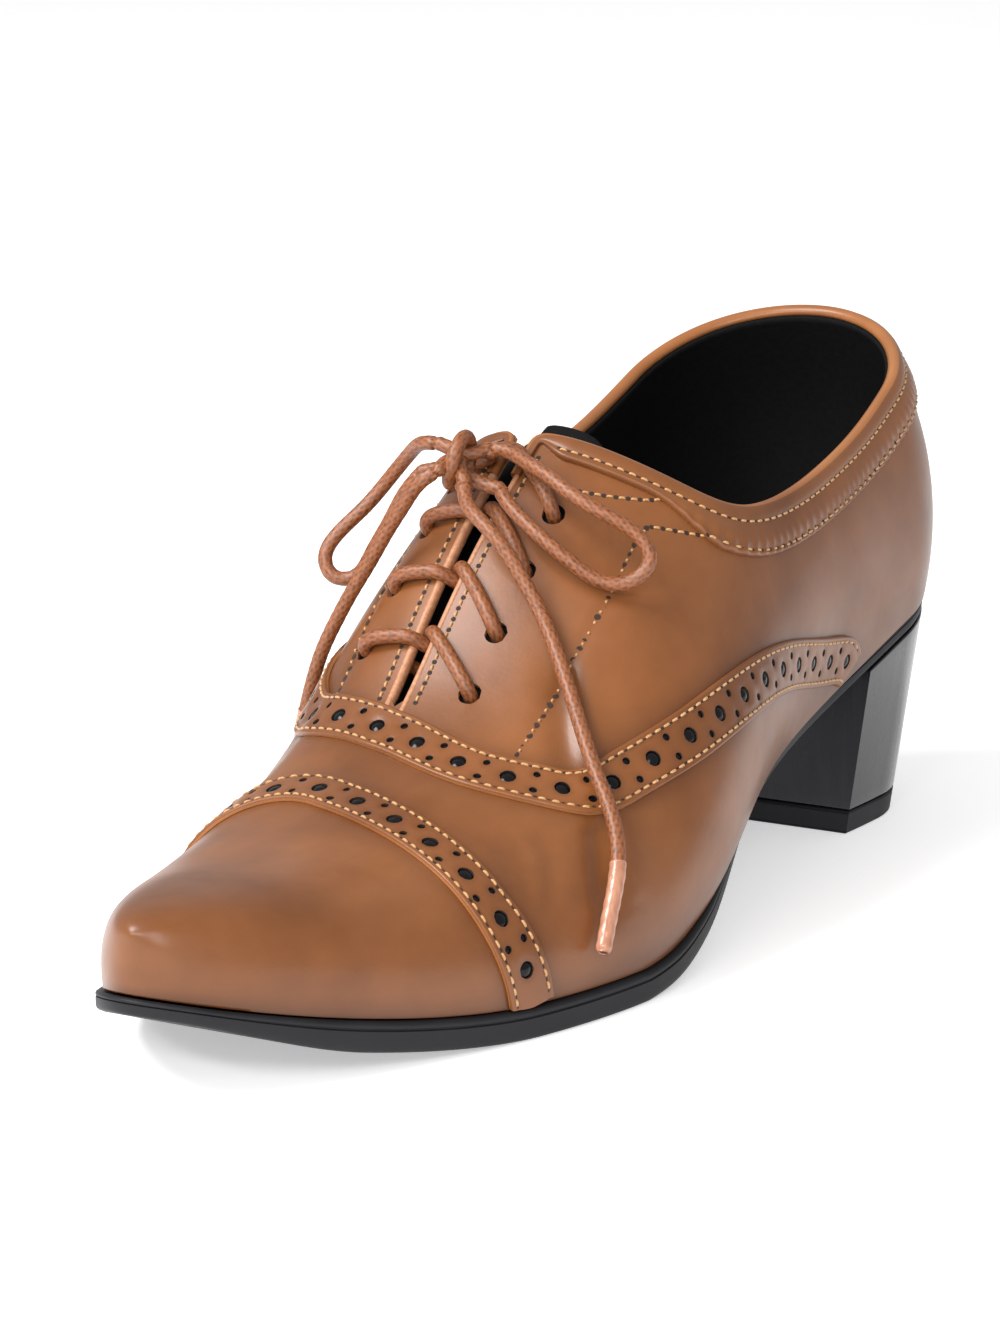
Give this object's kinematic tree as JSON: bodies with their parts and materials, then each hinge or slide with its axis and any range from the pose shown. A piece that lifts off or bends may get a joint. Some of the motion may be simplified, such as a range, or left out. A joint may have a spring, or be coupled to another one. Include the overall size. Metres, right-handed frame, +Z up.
{
  "type": "heeled oxford shoe",
  "caption": "Women's lace-up brogue oxford shoe with a black block heel, punched strips over toe cap and vamp, and a tied round lace.",
  "frame": {"origin": "centre of the heel's floor face, between its back and its breast", "axes": "+Z up from the floor, the toe points to -Y, +X is the outer side of this left shoe"},
  "size_m": [0.085, 0.2442, 0.093],
  "materials": {
    "tan_leather": "smooth tan leather with a soft shine",
    "strip_leather": "tan leather, slightly more orange",
    "black_lining": "matt black lining",
    "black_sole": "matt black rubber",
    "black_heel": "black lacquer",
    "waxed_cord": "waxed round cord, orange brown"
  },
  "bodies": {
    "root": {"upper": "tan_leather", "tongue": "tan_leather", "collar_band": "tan_leather", "toe_cap_strip": "strip_leather", "wing_strip": "strip_leather", "insole": "black_lining", "outsole": "black_sole", "heel_block": "black_heel", "heel_lift": "black_sole", "lace_crossing_1": "waxed_cord", "lace_crossing_2": "waxed_cord", "lace_crossing_3": "waxed_cord", "lace_crossing_4": "waxed_cord", "lace_knot": "waxed_cord", "lace_loop_outer": "waxed_cord", "lace_loop_inner": "waxed_cord", "lace_end_outer": "waxed_cord", "lace_end_inner": "waxed_cord"}
  },
  "joints": []
}
